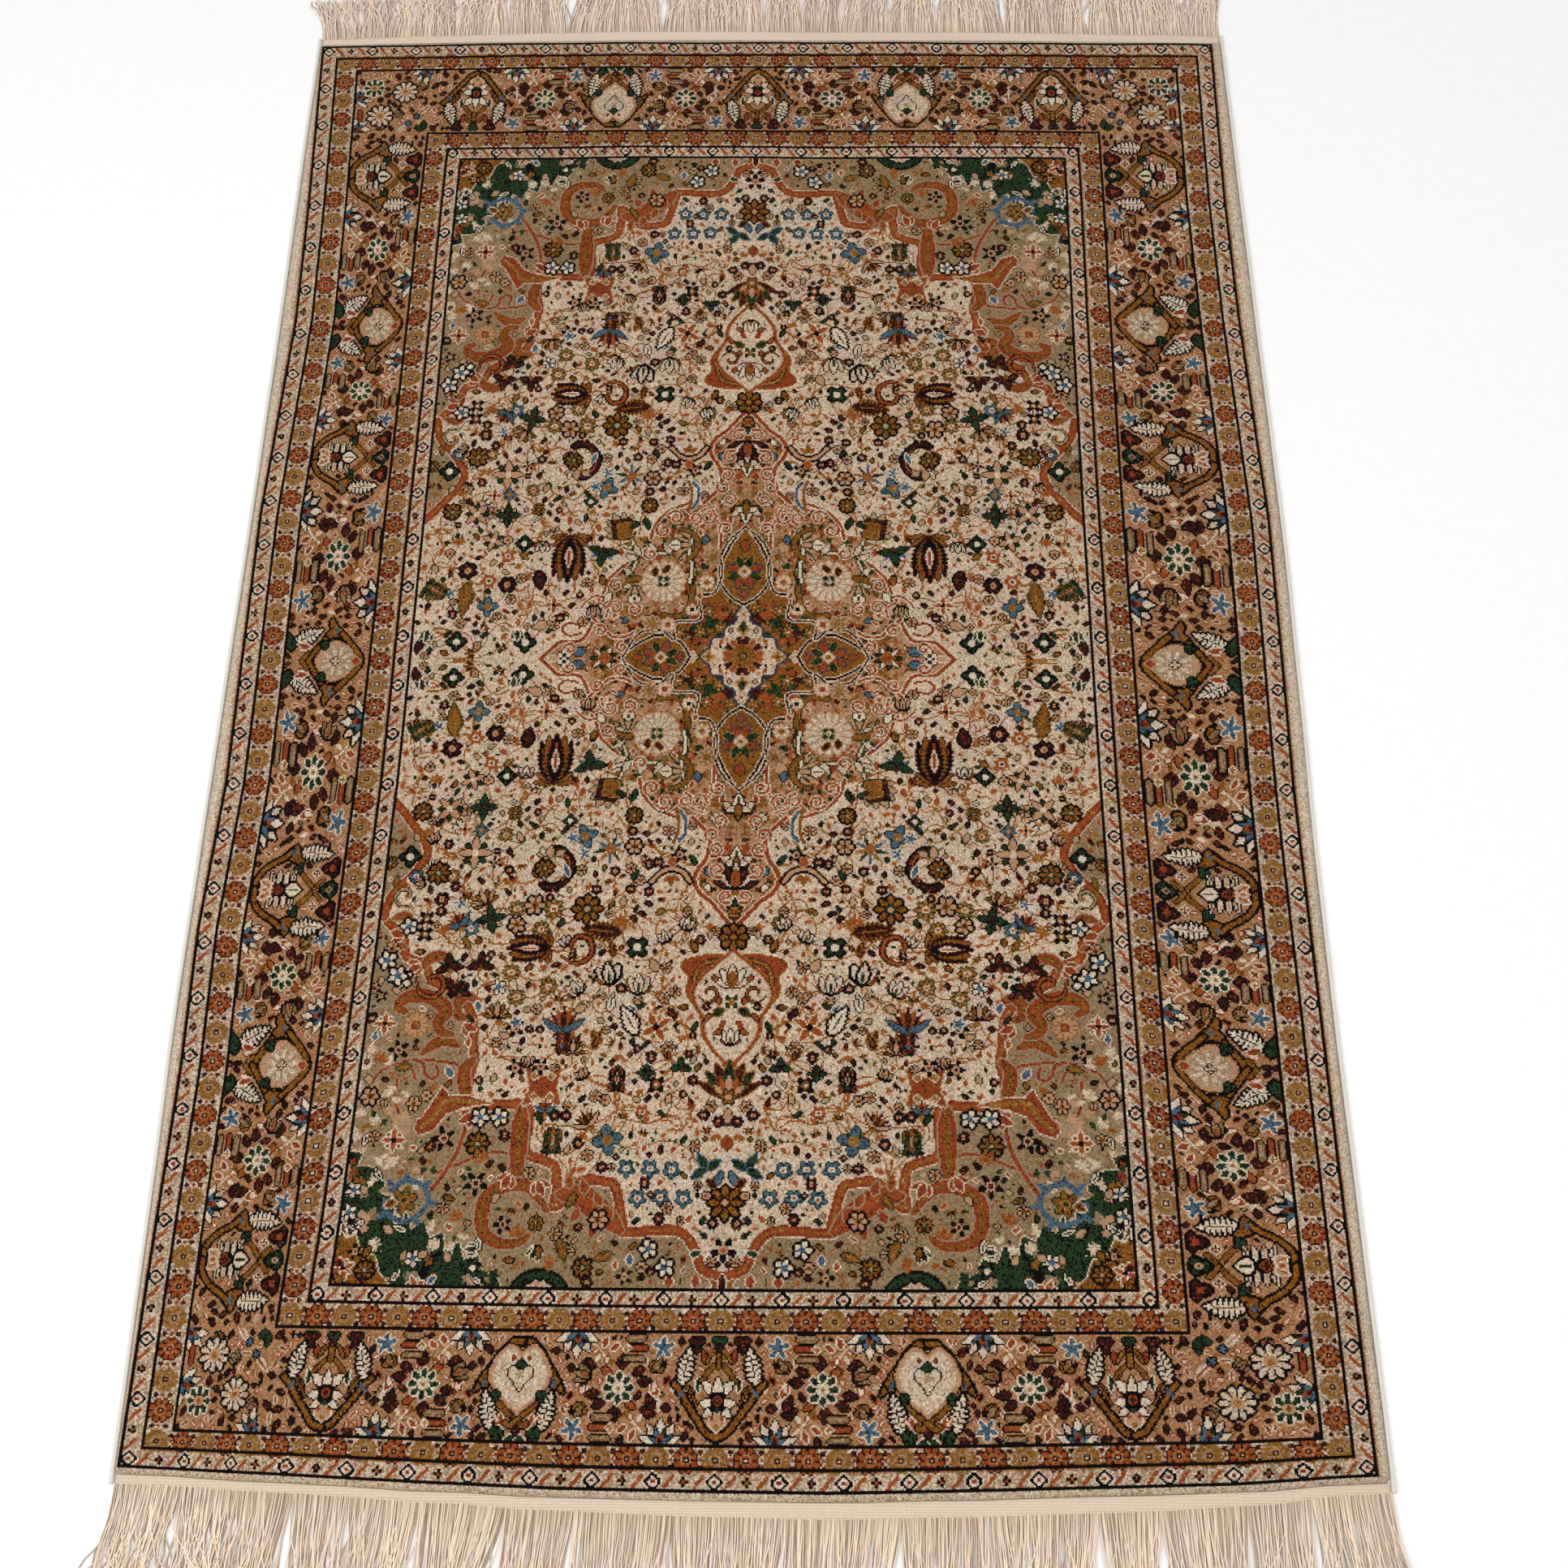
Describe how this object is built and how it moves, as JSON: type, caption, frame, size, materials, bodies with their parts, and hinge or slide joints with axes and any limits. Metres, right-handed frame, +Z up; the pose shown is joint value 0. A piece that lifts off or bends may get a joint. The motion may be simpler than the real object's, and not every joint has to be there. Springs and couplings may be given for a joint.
{
  "type": "persian rug",
  "caption": "Rectangular knotted-pile rug with overcast sides, flat-woven ends and long yarn fringes, lying flat on the floor.",
  "frame": {"origin": "on the floor under the middle of the whole rug, fringes included", "axes": "+Z up, +Y along the rug's length from the end nearest the viewer to the far end, +X across to the right"},
  "size_m": [1.2076, 1.9706, 0.0068],
  "materials": {
    "pile": "low cut pile in rust, ivory, taupe, green, blue and black yarn, silky",
    "cotton": "cream cotton, flat woven and left as loose warps",
    "overcast": "pale yarn wound round the side cord"
  },
  "bodies": {
    "root": {"pile": "pile", "kilim_near": "cotton", "kilim_far": "cotton", "fringe_near": "cotton", "fringe_far": "cotton", "side_cord_left": "overcast", "side_cord_right": "overcast"}
  },
  "joints": []
}
